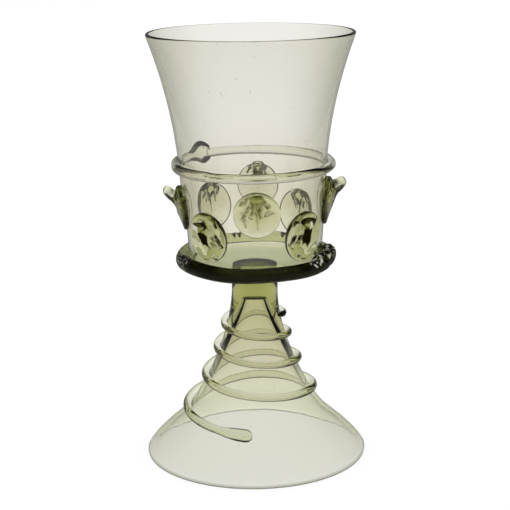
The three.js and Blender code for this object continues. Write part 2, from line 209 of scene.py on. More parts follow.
# Foot trail. Its start, its flattened drop and the drop's round tip are given in turns.
TRAIL_DROP = 18 * MM
TRAIL_PITCH = 9.78 * MM
TRAIL_SPREAD = 0.9 * MM
TRAIL_DIP = 0.75 * MM
TRAIL_START = 62
TRAIL_TURNS = 3.82
TRAIL_WIDTH_TOP = 3 * MM
TRAIL_WIDTH_END = 4.2 * MM
TRAIL_PROUD_TOP = 2.7 * MM
TRAIL_PROUD_END = 3.3 * MM
DROP_TURNS = 0.05
DROP_WIDTH = 6.7 * MM
TIP_TURNS = 0.013
START_TURNS = 0.06
START_DIP = 1.2 * MM
START_DIP_TURNS = 0.4

# The glass was worked by hand, so its middle stands a little to the right of its axis.
SWAY_AMOUNT = 0.85 * MM
SWAY_RISE = 19.5 * MM
SWAY_REACH = 25 * MM

RIM_HEIGHT = BOWL_BOTTOM + BOWL_HEIGHT
WAIST_HEIGHT = BOWL_BOTTOM + WAIST_RISE
THREAD_UNDERSIDE = WAIST_HEIGHT - THREAD_WIDTH / 2
COLLAR_TOP = BOWL_BOTTOM + COLLAR_RISE + COLLAR_WIDTH / 2 + COLLAR_WAVER

# Glass: how it takes colour from the light along its thickness, and its tints. A zone has two
# pairs of heights, between which it starts and ends, and BELOW and ABOVE lie past the goblet.
GLASS_IOR = 1.5
ABSORB_DENSITY = 110
ABSORB_COLOR = (0.54, 0.56, 0.055, 1)
# A painted shade on the glass's edges: a darker tint where it is seen slanting.
EDGE_SHADE_TINT = (0.775, 0.78, 0.74, 1)
ABOVE = (1, 2)
BOWL_ZONES = (
    ((104 * MM, 116 * MM), ABOVE, (0.962, 0.944, 0.972, 1)),
    ((104 * MM, 116 * MM), (125 * MM, 160 * MM), (0.92, 0.915, 0.85, 1)),
)
BELOW = (-2, -1)
FOOT_ZONES = (
    ((30 * MM, 48 * MM), (70 * MM, 78 * MM), (0.93, 0.907, 0.905, 1)),
    (BELOW, (0.6 * MM, 1.3 * MM), (0.5, 0.5, 0.45, 1)),
)
# The tint of painted shade, which the small bubbles take too.
SHADE_AND_SEED_TINT = (0.2, 0.19, 0.03, 1)
GLINT_COLOR = (0.72, 0.71, 0.6, 1)
# The near-black colour mixed into the glass as painted shade.
PAINTED_SHADE_COLOR = (0.007, 0.006, 0.001, 1)
WHITE = (1, 1, 1, 1)

# Where the glass faces aside by these shares it takes painted shade: it darkens, a painted
# reflection of the studio's unlit sides, or takes the darker tint painted on its edges.
DARK_BAND = (0.245, 0.26)
DARK_BAND_FADE = 0.045
EDGE_SLANT = (0.02, 0.6)

# Ripples, small bubbles and painted highlights. Scales are per metre, and the ripples are wider
# than high.
RIPPLE_SCALE = 90
RIPPLE_STRETCH = (1, 1, 2.5)
SEED_SCALE = 110
SEED_EDGE = (0.025, 0.06)
GLINT_EDGE = (0.1, 0.9)
GLINT_STRENGTH = 0.7

# The studio: bright all round below the first share of the way up, and dim above the second. A
# share of it is added in glass that lies deep behind other glass.
FIELD_COLOR = (0.95, 0.93, 0.98, 1)
FIELD_RISE = (0.15, 0.5)
FIELD_TOP = 0.3
DEEP_SHARE = 0.25
FLOOR_HALF = 3
FLOOR_COLOR = (0.25, 0.25, 0.25, 1)
FLOOR_GLOW = 0.8
LIGHT_BOUNCES = 32
MIRROR_BOUNCES = 8

# The photograph's camera: its lens in millimetres, its tip and roll in degrees, and its place.
CAMERA_SENSOR = 36
CAMERA_LENS = 99.42
CAMERA_TIP = 14.153
CAMERA_ROLL = -0.802
CAMERA_PLACE = (0.616 * MM, -641.55 * MM, 257.59 * MM)
CAMERA_NEAR = 0.01


def at(radius, height):
    """A point of a profile: its distance from the axis and its height."""
    return Vector((radius, height))


def rising(degrees):
    """The direction that rises at an angle above the horizontal, away from the axis."""
    return at(math.cos(math.radians(degrees)), math.sin(math.radians(degrees)))


def mix(a, b, share):
    return a + (b - a) * share


def smooth(value, low, high):
    share = min(max((value - low) / (high - low), 0), 1)
    return share * share * (3 - 2 * share)


def turned_from(azimuth, middle):
    """How far an azimuth is from another, in degrees, -180 to 180."""
    return (azimuth - middle + 180) % 360 - 180


def window(value, low, high, soft):
    """One between two values and nothing outside them, with soft ends."""
    return smooth(value, low, low + soft) * (1 - smooth(value, high - soft, high))


def bend(start, start_way, start_reach, end, end_way, end_reach, steps):
    """A cubic curve that leaves its start and reaches its end along set directions."""
    first = start + start_way * start_reach
    second = end - end_way * end_reach
    points = []
    for step in range(steps + 1):
        t = step / steps
        u = 1 - t
        points.append(u ** 3 * start + 3 * u * u * t * first + 3 * u * t * t * second
                      + t ** 3 * end)
    return points


def inset(outline, thickness_at):
    """The same upward outline moved inwards along its own normals."""
    moved = []
    for i, point in enumerate(outline):
        before = outline[max(i - 1, 0)]
        after = outline[min(i + 1, len(outline) - 1)]
        way = (after - before).normalized()
        thickness = thickness_at(point.y)
        moved.append(at(point.x - way.y * thickness, point.y + way.x * thickness))
    return moved


def smooth_through(points, t):
    """A point at share t along a smooth curve through the given ones."""
    place = min(max(t, 0), 1) * (len(points) - 1)
    i = min(int(place), len(points) - 2)
    t = place - i
    p0 = points[max(i - 1, 0)]
    p1 = points[i]
    p2 = points[i + 1]
    p3 = points[min(i + 2, len(points) - 1)]
    v0 = (p2 - p0) * 0.5
    v1 = (p3 - p1) * 0.5
    return (2 * p1 - 2 * p2 + v0 + v1) * t ** 3 + (-3 * p1 + 3 * p2 - 2 * v0 - v1) * t * t \
        + v0 * t + p1


class Side:
    """An outline that rises all the way, which gives its radius at a height."""

    def __init__(self, points):
        self.points = points
        self.heights = [point.y for point in points]

    def radius(self, height):
        i = min(max(bisect.bisect_left(self.heights, height), 1), len(self.points) - 1)
        low, high = self.points[i - 1], self.points[i]
        return mix(low.x, high.x, (height - low.y) / (high.y - low.y))


def foot_outer():
    edge = at(FOOT_RADIUS, FOOT_EDGE_HEIGHT)
    skirt = at(SKIRT_RADIUS, SKIRT_HEIGHT)
    stem = at(STEM_RADIUS, STEM_TOP - STEM_LENGTH)
    inwards = rising(180 - SKIRT_SLOPE)
    edge_way = rising(180 - FOOT_EDGE_SLOPE)
    lower = bend(edge, edge_way, FOOT_EDGE_REACH, skirt, inwards, SKIRT_REACH, steps=24)
    upper = bend(skirt, inwards, CONE_REACH, stem, rising(90), STEM_FLARE_REACH, steps=48)
    return lower + upper[1:] + [at(STEM_RADIUS, STEM_TOP)]


def foot_wall_at(height):
    wall = mix(FOOT_WALL, CONE_WALL, min(height / CONE_WALL_HEIGHT, 1) ** 2)
    return mix(FOOT_EDGE_WALL, wall, smooth(height, 0, FOOT_EDGE_REACH))


def foot_inner(outer):
    wall = inset([point for point in outer if point.y < CONE_WALL_HEIGHT], foot_wall_at)
    last = wall[-1]
    way = (last - wall[-2]).normalized()
    top = at(0, STEM_TOP - STEM_SOLID)
    shoulder = at(CAVITY_TOP_RADIUS, top.y - CAVITY_SHOULDER)
    reach = (shoulder.y - last.y) / 3
    slope = rising(CAVITY_SLOPE)
    cone = bend(last, way, reach, shoulder, slope, reach, steps=24)
    crown = bend(shoulder, slope, CAVITY_SHOULDER * 0.7, top, rising(180),
                 CAVITY_TOP_RADIUS * 0.85, steps=16)
    return wall + cone[1:] + crown[1:]


def bowl_outer():
    pad = at(PAD_RADIUS, BOWL_BOTTOM)
    corner = at(BASE_RADIUS, BOWL_BOTTOM + BASE_CORNER)
    waist = at(WAIST_RADIUS, WAIST_HEIGHT)
    rim = at(RIM_RADIUS, RIM_HEIGHT - 0.6 * RIM_WALL)
    floor_reach = (BASE_RADIUS - STEM_RADIUS) * 0.75
    dished = at(floor_reach, FLOOR_DISH).normalized()
    floor = bend(pad, dished, floor_reach, corner, rising(90), BASE_CORNER * 0.8, steps=24)
    lower = bend(corner, rising(90), LOWER_REACH, waist, rising(WAIST_SLOPE), LOWER_REACH,
                 steps=30)
    mouth = bend(waist, rising(FLARE_SLOPE), FLARE_REACH, rim, rising(RIM_SLOPE), RIM_REACH,
                 steps=60)
    return floor + lower[1:] + mouth[1:]


def bowl_wall_at(height):
    share = (height - BOWL_BOTTOM) / BOWL_HEIGHT
    middle = 2 * SIDE_WALL - (LOW_WALL + RIM_WALL) / 2
    return LOW_WALL * (1 - share) ** 2 + 2 * middle * share * (1 - share) \
        + RIM_WALL * share ** 2


FOOT_SIDE = Side(foot_outer())
BOWL_SIDE = Side(bowl_outer())


def round_axis(azimuth, radius, height):
    """A place given by azimuth in degrees, distance from the axis and height."""
    turn = math.radians(azimuth)
    return Vector((radius * math.sin(turn), -radius * math.cos(turn), height))


def on_bowl(azimuth, height, across, up, out):
    """A point across and up from a place on the bowl's wall, and out from the CAD's seat."""
    z = height + up
    wall = BOWL_SIDE.radius(z) + GAP
    return round_axis(azimuth + math.degrees(across / wall), wall + out, z)


def on_foot(azimuth, height, out):
    """A point off the foot's outer side, along its normal."""
    step = 0.5 * MM
    rise = at(FOOT_SIDE.radius(height + step) - FOOT_SIDE.radius(height - step), 2 * step)
    rise.normalize()
    off = GAP + out
    radius = FOOT_SIDE.radius(height) + rise.y * off
    return round_axis(azimuth, radius, height - rise.x * off)


def laid_section(width, proud, angle):
    """The section of glass laid on a surface, round outside and sunk where it lies. Angle 0 is
    its crest."""
    contact = 0.75
    undercut = 6
    across = width / 2 * math.sin(angle)
    out = proud * (math.cos(angle) + contact) / (1 + contact)
    if out < 0:
        out = max(out * undercut, -GAP - SUNK)
    return across, out


# Mesh making
def turned(profile):
    """A closed solid of revolution from a profile that starts and ends on the axis."""
    bm = bmesh.new()
    verts = [bm.verts.new((point.x, 0, point.y)) for point in profile]
    edges = [bm.edges.new(pair) for pair in zip(verts, verts[1:])]
    bmesh.ops.spin(bm, geom=verts + edges, cent=(0, 0, 0), axis=(0, 0, 1), dvec=(0, 0, 0),
                   angle=2 * math.pi, steps=FACETS, use_merge=True, use_duplicate=False)
    bmesh.ops.remove_doubles(bm, verts=bm.verts, dist=1e-7)
    return bm


def moulded_ball(sides, rings, mover):
    """A ball whose vertices are moved to new places. The mover gets how far a vertex is from
    the ball's front pole, 0 to 1, and its angle round that pole, 0 at the top. It gives the new
    place, how much painted shade lies there, below 0 where a painted highlight makes it pale, and
    how much of the painted shade under a nose it is."""
    bm = bmesh.new()
    bmesh.ops.create_uvsphere(bm, u_segments=sides, v_segments=rings, radius=1)
    shade_and_glint = bm.verts.layers.float.new("shade_and_glint")
    nose_shade = bm.verts.layers.float.new("nose_shade")
    for vert in bm.verts:
        share = math.acos(min(max(vert.co.z, -1), 1)) / math.pi
        vert.co, vert[shade_and_glint], vert[nose_shade] = mover(share, math.atan2(vert.co.x, vert.co.y))
    return bm


def moulded_ring(sides, steps, mover):
    """A closed ring whose vertices are moved to new places. The mover gets the azimuth in
    degrees and the angle round the section. It gives the new place and how much painted shade
    lies there, below 0 where a painted highlight makes it pale."""
    bm = bmesh.new()
    section_radius = 0.25
    made = bmesh.ops.create_circle(bm, segments=sides, radius=section_radius)
    bmesh.ops.rotate(bm, verts=made["verts"], cent=(0, 0, 0),
                     matrix=Matrix.Rotation(math.pi / 2, 3, "X"))
    bmesh.ops.translate(bm, verts=made["verts"], vec=(1, 0, 0))
    bmesh.ops.spin(bm, geom=bm.verts[:] + bm.edges[:], cent=(0, 0, 0), axis=(0, 0, 1),
                   dvec=(0, 0, 0), angle=2 * math.pi, steps=steps, use_merge=True,
                   use_duplicate=False)
    shade_and_glint = bm.verts.layers.float.new("shade_and_glint")
    for vert in bm.verts:
        azimuth = math.degrees(math.atan2(vert.co.x, -vert.co.y))
        away = math.hypot(vert.co.x, vert.co.y) - 1
        vert.co, vert[shade_and_glint] = mover(azimuth, math.atan2(vert.co.z, away))
    return bm


def finished(bm, name, node, material):
    """A mesh made into a piece of the goblet that stands for its CAD node."""
    for vert in bm.verts:
        off = (vert.co.z - BOWL_BOTTOM - SWAY_RISE) / SWAY_REACH
        vert.co.x += SWAY_AMOUNT * math.exp(-off * off)
    bmesh.ops.recalc_face_normals(bm, faces=bm.faces)
    if bm.calc_volume(signed=True) < 0:
        bmesh.ops.reverse_faces(bm, faces=bm.faces)
    for face in bm.faces:
        face.smooth = True
    mesh = bpy.data.meshes.new(name)
    bm.to_mesh(mesh)
    bm.free()
    piece = bpy.data.objects.new(name, mesh)
    bpy.context.scene.collection.objects.link(piece)
    mesh.materials.append(material)
    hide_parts(node)
    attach(piece, "root")
    return piece


# The pieces
def make_foot(material):
    inner = foot_inner(FOOT_SIDE.points)
    inside = inner[0]
    ring = []
    for step in range(1, ROUND_STEPS):
        share = step / ROUND_STEPS
        turn = math.pi * step / ROUND_STEPS
        ring.append(at(mix(inside.x, FOOT_RADIUS, (1 - math.cos(turn)) / 2),
                       mix(inside.y, FOOT_EDGE_HEIGHT, share) * (1 - math.sin(turn))))
    profile = inner[::-1] + ring + FOOT_SIDE.points
    profile[-1] = at(STEM_RADIUS, STEM_TOP + GAP + SUNK)
    profile.append(at(0, STEM_TOP + GAP + SUNK))
    return finished(turned(profile), "foot_glass", "foot", material)


def make_bowl(material):
    heel = BOWL_BOTTOM + FLOOR_WALL + HEEL_RISE
    side = inset(BOWL_SIDE.points, bowl_wall_at)
    inner = [point for point in side if point.y > heel + HEEL_ROUND]
    floor_middle = at(0, BOWL_BOTTOM + FLOOR_WALL)
    floor_edge = at(inner[0].x - HEEL_ROUND, heel)
    reach = floor_edge.x / 3
    slope = rising(HEEL_SLOPE)
    floor = bend(floor_middle, rising(0), reach, floor_edge, slope, reach, steps=24)
    reach = HEEL_ROUND * 0.7
    corner = bend(floor_edge, slope, reach, inner[0], rising(90), reach, steps=8)
    inner = floor + corner[1:] + inner[1:]
    edge = BOWL_SIDE.points[-1]
    middle = (edge + inner[-1]) / 2
    spoke = edge - middle
    lip = []
    for step in range(1, ROUND_STEPS):
        turn = math.pi * step / ROUND_STEPS
        lip.append(middle + Matrix.Rotation(turn, 2) @ spoke)
    profile = [at(0, BOWL_BOTTOM)] + BOWL_SIDE.points + lip + inner[::-1]
    return finished(turned(profile), "bowl_glass", "bowl", material)


def finer_near(azimuth, middle, span, share):
    """An azimuth moved so that evenly spaced ones crowd round a middle."""
    off = turned_from(azimuth, middle)
    if abs(off) > span:
        return azimuth
    return turned_from(middle + off * (share + (1 - share) * (off / span) ** 2), 0)


def blob_section(along, angle):
    """How far up and how proud a place on the blob's section is. The blob reaches further up
    than down, and further near its end."""
    up = math.sin(angle)
    reach = smooth_through([at(*pair) for pair in BLOB_REACH], along) * MM
    swell = max(0, 1 - abs(up) ** 2.4) ** 0.6 if math.cos(angle) > 0 else 0
    proud = mix(THREAD_PROUD, BLOB_PROUD, smooth(along, 0.3, 0.7))
    return up * (reach.x if up > 0 else reach.y), proud * swell


def blob_shade(along, up, azimuth):
    """How much painted shade lies on the blob: at its upper edge, at the right of its lower one
    and, more faintly, round its end."""
    rough = noise.noise(Vector((azimuth / 2.5, 3 * up, 0)))
    fine = noise.noise(Vector((azimuth / 1.1, 7 * up, 5)))
    top = smooth(up, 0.55 + 0.4 * rough, 0.65 + 0.4 * rough) * window(along, 0.36, 0.97, 0.1)
    low = smooth(-up, 0.42 + 0.3 * rough, 0.55 + 0.3 * rough) * window(along, 0.6, 0.95, 0.06)
    rim = 0.35 * window(along, 0.9, 0.98, 0.03)
    return max(top * (1 - smooth(fine, 0.12, 0.3)), low, rim)


def thread_height(azimuth):
    """The thread hangs a little lower in front than at the back."""
    return WAIST_HEIGHT - THREAD_TILT * math.cos(math.radians(azimuth))


def thread_place(azimuth, angle):
    azimuth = finer_near(azimuth, BLOB_END, BLOB_FINE_SPAN, BLOB_FINE_SHARE)
    along = (BLOB_TAIL - azimuth) / (BLOB_TAIL - BLOB_END)
    flat = 0.16 * window(azimuth, *THREAD_FLAT, 6)
    uneven = 1 + 0.04 * math.sin(math.radians(3 * azimuth + 40)) + flat
    across, out = laid_section(THREAD_WIDTH * uneven, THREAD_PROUD / uneven, angle)
    shade_glint = 0
    if 0 < along < 1:
        blob = smooth(along, 0, 0.5) * (1 - smooth(along, 0.94, 1))
        blob_across, blob_out = blob_section(along, angle)
        across = mix(across, blob_across, blob)
        if out > 0:
            out = mix(out, blob_out, blob)
            shade_glint = blob * blob_shade(along, math.sin(angle), azimuth)
    # The thread's sides take a pale painted highlight on their upper half.
    ends = window(abs(azimuth), *THREAD_END_GLINT, 14) * smooth(math.sin(angle), -0.4, 0.4)
    shade_glint -= 0.6 * ends
    return on_bowl(azimuth, thread_height(azimuth), 0, across, out), shade_glint


def make_thread(material):
    return finished(moulded_ring(THREAD_SIDES, RING_STEPS, thread_place), "thread_glass",
                    "bowl_thread", material)


def crease(azimuth, angle, span, layer):
    """A crooked groove in the collar's crushed end: 1 on its line and 0 away from it."""
    spot = Vector((azimuth / span, 1.4 * math.cos(angle), 1.4 * math.sin(angle) + layer))
    return max(0, 1 - abs(noise.noise(spot)) / 0.2) ** 2


def notch_at(azimuth, angle):
    """How deep the collar's notches are at a place on it, and how much painted shade lies in them
    there.
    """
    notch = 0
    dark = 0
    if math.sin(angle) > 0:
        down = 1 - math.sin(angle)
        for notch_azimuth, spread, share in COLLAR_NOTCHES:
            off = abs(turned_from(azimuth, notch_azimuth)) / spread
            notch += NOTCH_DEPTH * math.exp(-3 * off * off) * math.sin(angle)
            dark = max(dark, smooth(1 - down / share - off, 0, 0.2))
    return notch, dark


def collar_shade_glint(azimuth, angle, dark):
    """How dark the collar looks: painted shade in its notches and folds, and pale painted
    highlights on its crushed end and in a streak.
    """
    rough = noise.noise(Vector((azimuth / 2.4, 2.2 * angle, 3)))
    glint = window(azimuth, GLINT_START, CRIMP_END, 6) * smooth(rough, -0.02, 0.25) \
        * smooth(math.sin(angle), 0, 0.6)
    streak = 0.7 * window(azimuth, *HIGHLIGHT_STREAK, 12) * smooth(abs(rough + 0.1), 0.12, 0.02)
    return dark - glint - streak


def collar_place(azimuth, angle):
    waver = COLLAR_WAVER * math.sin(math.radians(COLLAR_WAVERS * azimuth))
    crimp = window(azimuth, CRIMP_START, CRIMP_END, 12)
    folds = max(crease(azimuth, angle, 9, 0), 0.8 * crease(azimuth, angle, 5, 10))
    swell = crimp * MM * (1.1 - 1.5 * folds)
    thick = COLLAR_THICK + 0.55 * swell
    high = COLLAR_WIDTH / 2 + swell
    middle = BASE_RADIUS + COLLAR_PROUD - COLLAR_THICK + waver / 2
    lifted = COLLAR_RISE + waver + CRIMP_LIFT * crimp
    lifted += COLLAR_TILT * (1 - math.cos(math.radians(azimuth)))
    notch, dark = notch_at(azimuth, angle)
    z = BOWL_BOTTOM + lifted + high * math.sin(angle)
    radius = middle + thick * math.cos(angle) - notch / 2
    radius = max(radius, BOWL_SIDE.radius(z - notch) - SUNK)
    # Painted shade lies in the notches and in the crushed end's folds.
    shade_glint = collar_shade_glint(azimuth, angle, max(dark, 0.6 * crimp * folds))
    return round_axis(azimuth, radius, z - notch), shade_glint


def make_collar(material):
    return finished(moulded_ring(COLLAR_SIDES, RING_STEPS, collar_place), "collar_glass",
                    "collar", material)


# A prunt's section from its rim to its nose's tip: its lower line and its upper one, each as up
# and out, and half its width.
R = PRUNT_RADIUS
PRUNT_LOWER = [
    at(-R, -GAP - SUNK), at(0.3 * MM - R, 0.8 * MM), at(3 * MM - R, 1.6 * MM),
    at(7.5 * MM - R, 3.1 * MM), at(R - 8.7 * MM, 4.7 * MM), at(R - 5.9 * MM, 6.9 * MM),
    at(R - 3.5 * MM, 8.4 * MM), at(R - 1.8 * MM, 8.3 * MM), at(R - 0.7 * MM, 7.6 * MM),
]
PRUNT_UPPER = [
    at(R, -GAP - SUNK), at(R - 0.1 * MM, 1.3 * MM), at(R - 0.9 * MM, 2.2 * MM),
    at(R - 1.9 * MM, 2.6 * MM), at(R - 2.1 * MM, 2.8 * MM), at(R - 1.2 * MM, 3.6 * MM),
    at(R - 0.3 * MM, 5 * MM), at(R - 0.1 * MM, 6.6 * MM), at(R - 0.7 * MM, 7.6 * MM),
]
PRUNT_HALF_WIDTH = [
    at(R, 0), at(R - 0.15 * MM, 0), at(R - 1.5 * MM, 0), at(R * 0.52, 0),
    at(FIN_WIDTH * 0.68, 0), at(FIN_WIDTH * 0.6, 0), at(NOSE_WIDTH * 0.46, 0),
    at(NOSE_WIDTH * 0.36, 0), at(0, 0),
]


def pinch_strokes(row, side):
    """The strokes that the pincers left on one prunt, each from a start to an end across and
    up from its middle. The prunts on the right have them the other way round."""
    chance = random.Random(f"{row} {side}")
    hand = -1 if "right" in side else 1
    strokes = []
    kinds = UPPER_STROKES if row == "upper" else LOWER_STROKES
    for x0, z0, x1, z1, width in (FAR_STROKES if "back" in side else kinds):
        stray = [chance.uniform(-1, 1) * (0 if side == "front" else 0.8) for _ in range(4)]
        start = at(hand * (x0 + stray[0]), z0 + stray[1] / 2) * MM
        end = at(hand * (x1 + stray[2]), z1 + 1.5 * stray[3]) * MM
        strokes.append((start, end, width * MM))
    return strokes


def stroke_at(strokes, place):
    """How strongly the pincers pressed at a place on a prunt, 0 to 1."""
    deepest = 0
    for start, end, width in strokes:
        way = end - start
        along = min(max((place - start).dot(way) / way.length_squared, 0), 1)
        off = (place - start - way * along).length / (width * (1.15 - 0.4 * along))
        deepest = max(deepest, math.exp(-off * off))
    return deepest


def nose_shade_at(side, across, up, top, ragged):
    """How much of a place on a lower prunt is the painted shade under its nose, a dark wedge,
    0 to 1. The wedge narrows downwards, one side of it upright and the other slanting."""
    right, hand = NOSE_SHADES[side]
    foot = NOSE_SHADE_FOOT + 2 * ragged.x
    narrow = mix(NOSE_SHADE_FOOT_HALF, NOSE_SHADE_TOP_HALF, (up - foot) / (top - foot))
    off = abs(across - right - hand * (NOSE_SHADE_TOP_HALF - narrow))
    wide = narrow + 1.5 * ragged.y
    arch = up + off * off / (4 * MM)
    return window(arch, foot, top, 0.6 * MM) * (1 - smooth(off, wide, wide + 0.4 * MM))


def nose_shade_glint(side, along, angle, ragged):
    """The painted shade over a lower nose, a dark cap with blots, and a pale painted highlight on
    its outer side, each 0 to 1.
    """
    _, hand = NOSE_SHADES[side]
    inner = hand * math.sin(angle)
    cap = window(along, 0.6, 0.97, 0.05) * smooth(math.cos(angle) + 0.5 * inner, 0, 0.3)
    cap *= smooth(ragged.y, -0.25 * MM, -0.1 * MM)
    blots = smooth(ragged.z, 0.05 * MM, 0.15 * MM) * smooth(along, 0.62, 0.7)
    patch = window(along, 0.6, 0.92, 0.05) * smooth(-inner, -0.3, 0.2)
    return max(cap, 0.8 * blots), patch * smooth(ragged.x, -0.05 * MM, 0.15 * MM)


def make_prunt(row, side, azimuth, height, size, material, sag=0, lean=0):
    """A prunt: a disc pressed on the wall and drawn out into a nose. On the lower row the nose
    is broader, hangs lower and leans to one side, over a dark wedge of painted shade."""
    lower_row = row == "lower"
    tall = LOWER_TALL if lower_row else 1
    pull = LOWER_PULL if lower_row else 1
    nose_width = LOWER_NOSE if lower_row else 1
    strokes = pinch_strokes(row, side)

    def place(share, angle):
        if share > PRUNT_FACE:
            reach = R * (1 - share) / (1 - PRUNT_FACE)
            low = on_bowl(azimuth, height, reach * math.sin(angle) * size,
                          reach * math.cos(angle) * size * tall, -GAP - SUNK)
            return low, 0, 0
        along = 1 - share / PRUNT_FACE
        drawn = smooth(along, 0.5, 0.75)
        lower = smooth_through(PRUNT_LOWER, along)
        upper = smooth_through(PRUNT_UPPER, along)
        middle = (lower + upper) / 2
        half = (upper - lower) / 2
        up = middle.x + half.x * math.cos(angle) - sag * drawn
        out = (middle.y + half.y * math.cos(angle)) * mix(1, pull, drawn)
        across = max(0, smooth_through(PRUNT_HALF_WIDTH, along).x) * math.sin(angle)
        across *= mix(1, nose_width, drawn)
        if math.cos(angle) < 0:
            across *= mix(1, (1 + math.cos(angle)) ** 0.8, window(along, 0.22, 0.78, 0.16))
        spot = Vector((across, up, azimuth * MM))
        waver = noise.noise_vector(spot * WAVER_SCALE) * WAVER * MM
        pressed_and_shaded = stroke_at(strokes, at(across + waver.x, up + waver.y))
        pressed_and_shaded *= 1 - smooth(out, 4.4 * MM, 6 * MM)
        # The pincers' grooves take painted shade, darker where they pressed harder.
        shade_glint = pressed_and_shaded * (0.75 + waver.z / MM)
        nose_shade = 0
        if side in NOSE_SHADES:
            ragged = noise.noise_vector(spot * RAGGED_SCALE) * MM
            nose_shade = nose_shade_at(side, across, up, NOSE_SHADE_TOP - sag, ragged) * (1 - drawn)
            # The cap joins the painted shade under the nose, and the painted highlight makes the
            # glass pale.
            cap, patch = nose_shade_glint(side, along, angle, ragged)
            nose_shade = max(nose_shade, cap * (1 - patch))
            shade_glint -= patch
        out -= min(MARK_DEPTH * pressed_and_shaded, 0.4 * max(out, 0))
        skew = lean * smooth(along, 0.25, 0.75)
        moved = on_bowl(azimuth, height, across * size + skew, up * size * tall, out * size)
        return moved, shade_glint, nose_shade

    return finished(moulded_ball(PRUNT_SIDES, PRUNT_RINGS, place),
                    f"prunt_{row}_{side}_glass", f"prunt_{row}_{side}", material)


def trail_at(turns):
    azimuth = TRAIL_START + 360 * turns
    dip = TRAIL_DIP * math.cos(math.radians(azimuth))
    fallen = TRAIL_DROP + TRAIL_PITCH * turns + TRAIL_SPREAD * turns ** 2 + dip
    fallen += START_DIP * (1 - smooth(turns, 0, START_DIP_TURNS))
    return azimuth, STEM_TOP - fallen


def trail_size(turns):
    """How wide and how proud the trail is, from its thin start to its flattened drop."""
    share = turns / TRAIL_TURNS
    left = max(TRAIL_TURNS - turns, 0)
    start = math.sqrt(1 - (1 - min(turns / START_TURNS, 1)) ** 2)
    tip = math.sqrt(max(0, 1 - (1 - min(left / TIP_TURNS, 1)) ** 2))
    drop = smooth(-left, -1.6 * DROP_TURNS, -0.4 * DROP_TURNS)
    width = mix(mix(TRAIL_WIDTH_TOP, TRAIL_WIDTH_END, share), DROP_WIDTH, drop)
    proud = mix(TRAIL_PROUD_TOP, TRAIL_PROUD_END, share)
    return width * start * tip, proud * start * tip


def trail_place(share, angle):
    # The rings crowd at both ends.
    turns = TRAIL_TURNS * (share - 0.15 * math.sin(2 * math.pi * share))
    azimuth, z = trail_at(turns)
    next_azimuth, next_z = trail_at(turns + 0.01)
    here = on_foot(azimuth, z, 0)
    way = (on_foot(next_azimuth, next_z, 0) - here).normalized()
    out_way = (on_foot(azimuth, z, MM) - here).normalized()
    side = out_way.cross(way).normalized()
    width, proud = trail_size(turns)
    across, out = laid_section(width, proud, angle)
    spot = here + side * across
    return on_foot(math.degrees(math.atan2(spot.x, -spot.y)), spot.z, out), 0, 0


def make_trail(material):
    return finished(moulded_ball(TRAIL_SIDES, TRAIL_RINGS, trail_place), "foot_trail_glass",
                    "foot_trail", material)


# Materials
class Value:
    """A number that a shader node gives, so that shader maths reads as Python."""

    def __init__(self, shader, socket):
        self.shader = shader
        self.socket = socket

    def _math(self, operation, a, b):
        return self.shader.maths(operation, a, b)

    def __add__(self, other):
        return self._math("ADD", self, other)

    def __radd__(self, other):
        return self._math("ADD", other, self)

    def __sub__(self, other):
        return self._math("SUBTRACT", self, other)

    def __rsub__(self, other):
        return self._math("SUBTRACT", other, self)

    def __mul__(self, other):
        return self._math("MULTIPLY", self, other)

    def __rmul__(self, other):
        return self._math("MULTIPLY", other, self)


class Shader:
    """The node tree of a material or of the world."""

    def __init__(self, owner):
        owner.use_nodes = True
        self.tree = owner.node_tree
        self.tree.nodes.clear()

    def node(self, kind, settings=None, inputs=None, output=0):
        made = self.tree.nodes.new(kind)
        for name, value in (settings or {}).items():
            setattr(made, name, value)
        for name, value in (inputs or {}).items():
            if isinstance(value, Value):
                self.tree.links.new(value.socket, made.inputs[name])
            else:
                made.inputs[name].default_value = value
        if not made.outputs:
            return made
        return Value(self, made.outputs[output])

    def maths(self, operation, *values):
        return self.node("ShaderNodeMath", {"operation": operation}, dict(enumerate(values)))


def smooth_between(shader, value, low, high):
    return shader.node("ShaderNodeMapRange", {"interpolation_type": "SMOOTHSTEP"}, {
        "Value": value, "From Min": low, "From Max": high})


def mixed(shader, factor, a, b, times=None):
    """A colour between two. With a third one, the second is multiplied by it first."""
    if times:
        b = shader.node("ShaderNodeMix", {"data_type": "RGBA", "blend_type": "MULTIPLY"}, {
            "Factor": 1, "A": b, "B": times}, output="Result")
    return shader.node("ShaderNodeMix", {"data_type": "RGBA"}, {
        "Factor": factor, "A": a, "B": b}, output="Result")


def rippled(shader, place, ripple):
    """A normal that wavers a little, as blown glass does."""
    waves = shader.node("ShaderNodeMapping", inputs={"Vector": place, "Scale": RIPPLE_STRETCH})
    relief = ripple * shader.node("ShaderNodeTexNoise", inputs={
        "Vector": waves, "Scale": RIPPLE_SCALE, "Detail": 1})
    return shader.node("ShaderNodeBump", inputs={
        "Strength": 1, "Distance": MM, "Height": relief})


def zoned(shader, height, zones):
    """The tint at a height, from zones with a soft start, a soft end and a colour."""
    tint = WHITE
    for start, end, color in zones:
        zone = smooth_between(shader, height, *start) \
            * (1 - smooth_between(shader, height, *end))
        tint = mixed(shader, zone, tint, tint, color)
    return tint


def seeds_at(shader, place):
    """Where the glass has a small bubble."""
    bubble = shader.node("ShaderNodeTexVoronoi", inputs={"Vector": place, "Scale": SEED_SCALE})
    return 1 - smooth_between(shader, bubble, *SEED_EDGE)


def unlit_sides(shader, slant, band_end):
    """Where the glass would mirror the studio's unlit sides from within, and takes a painted
    reflection of their dark.
    """
    inside = shader.node("ShaderNodeNewGeometry", output="Backfacing")
    band = smooth_between(shader, slant, *DARK_BAND) \
        * (1 - smooth_between(shader, slant, band_end, band_end + DARK_BAND_FADE))
    return inside * band


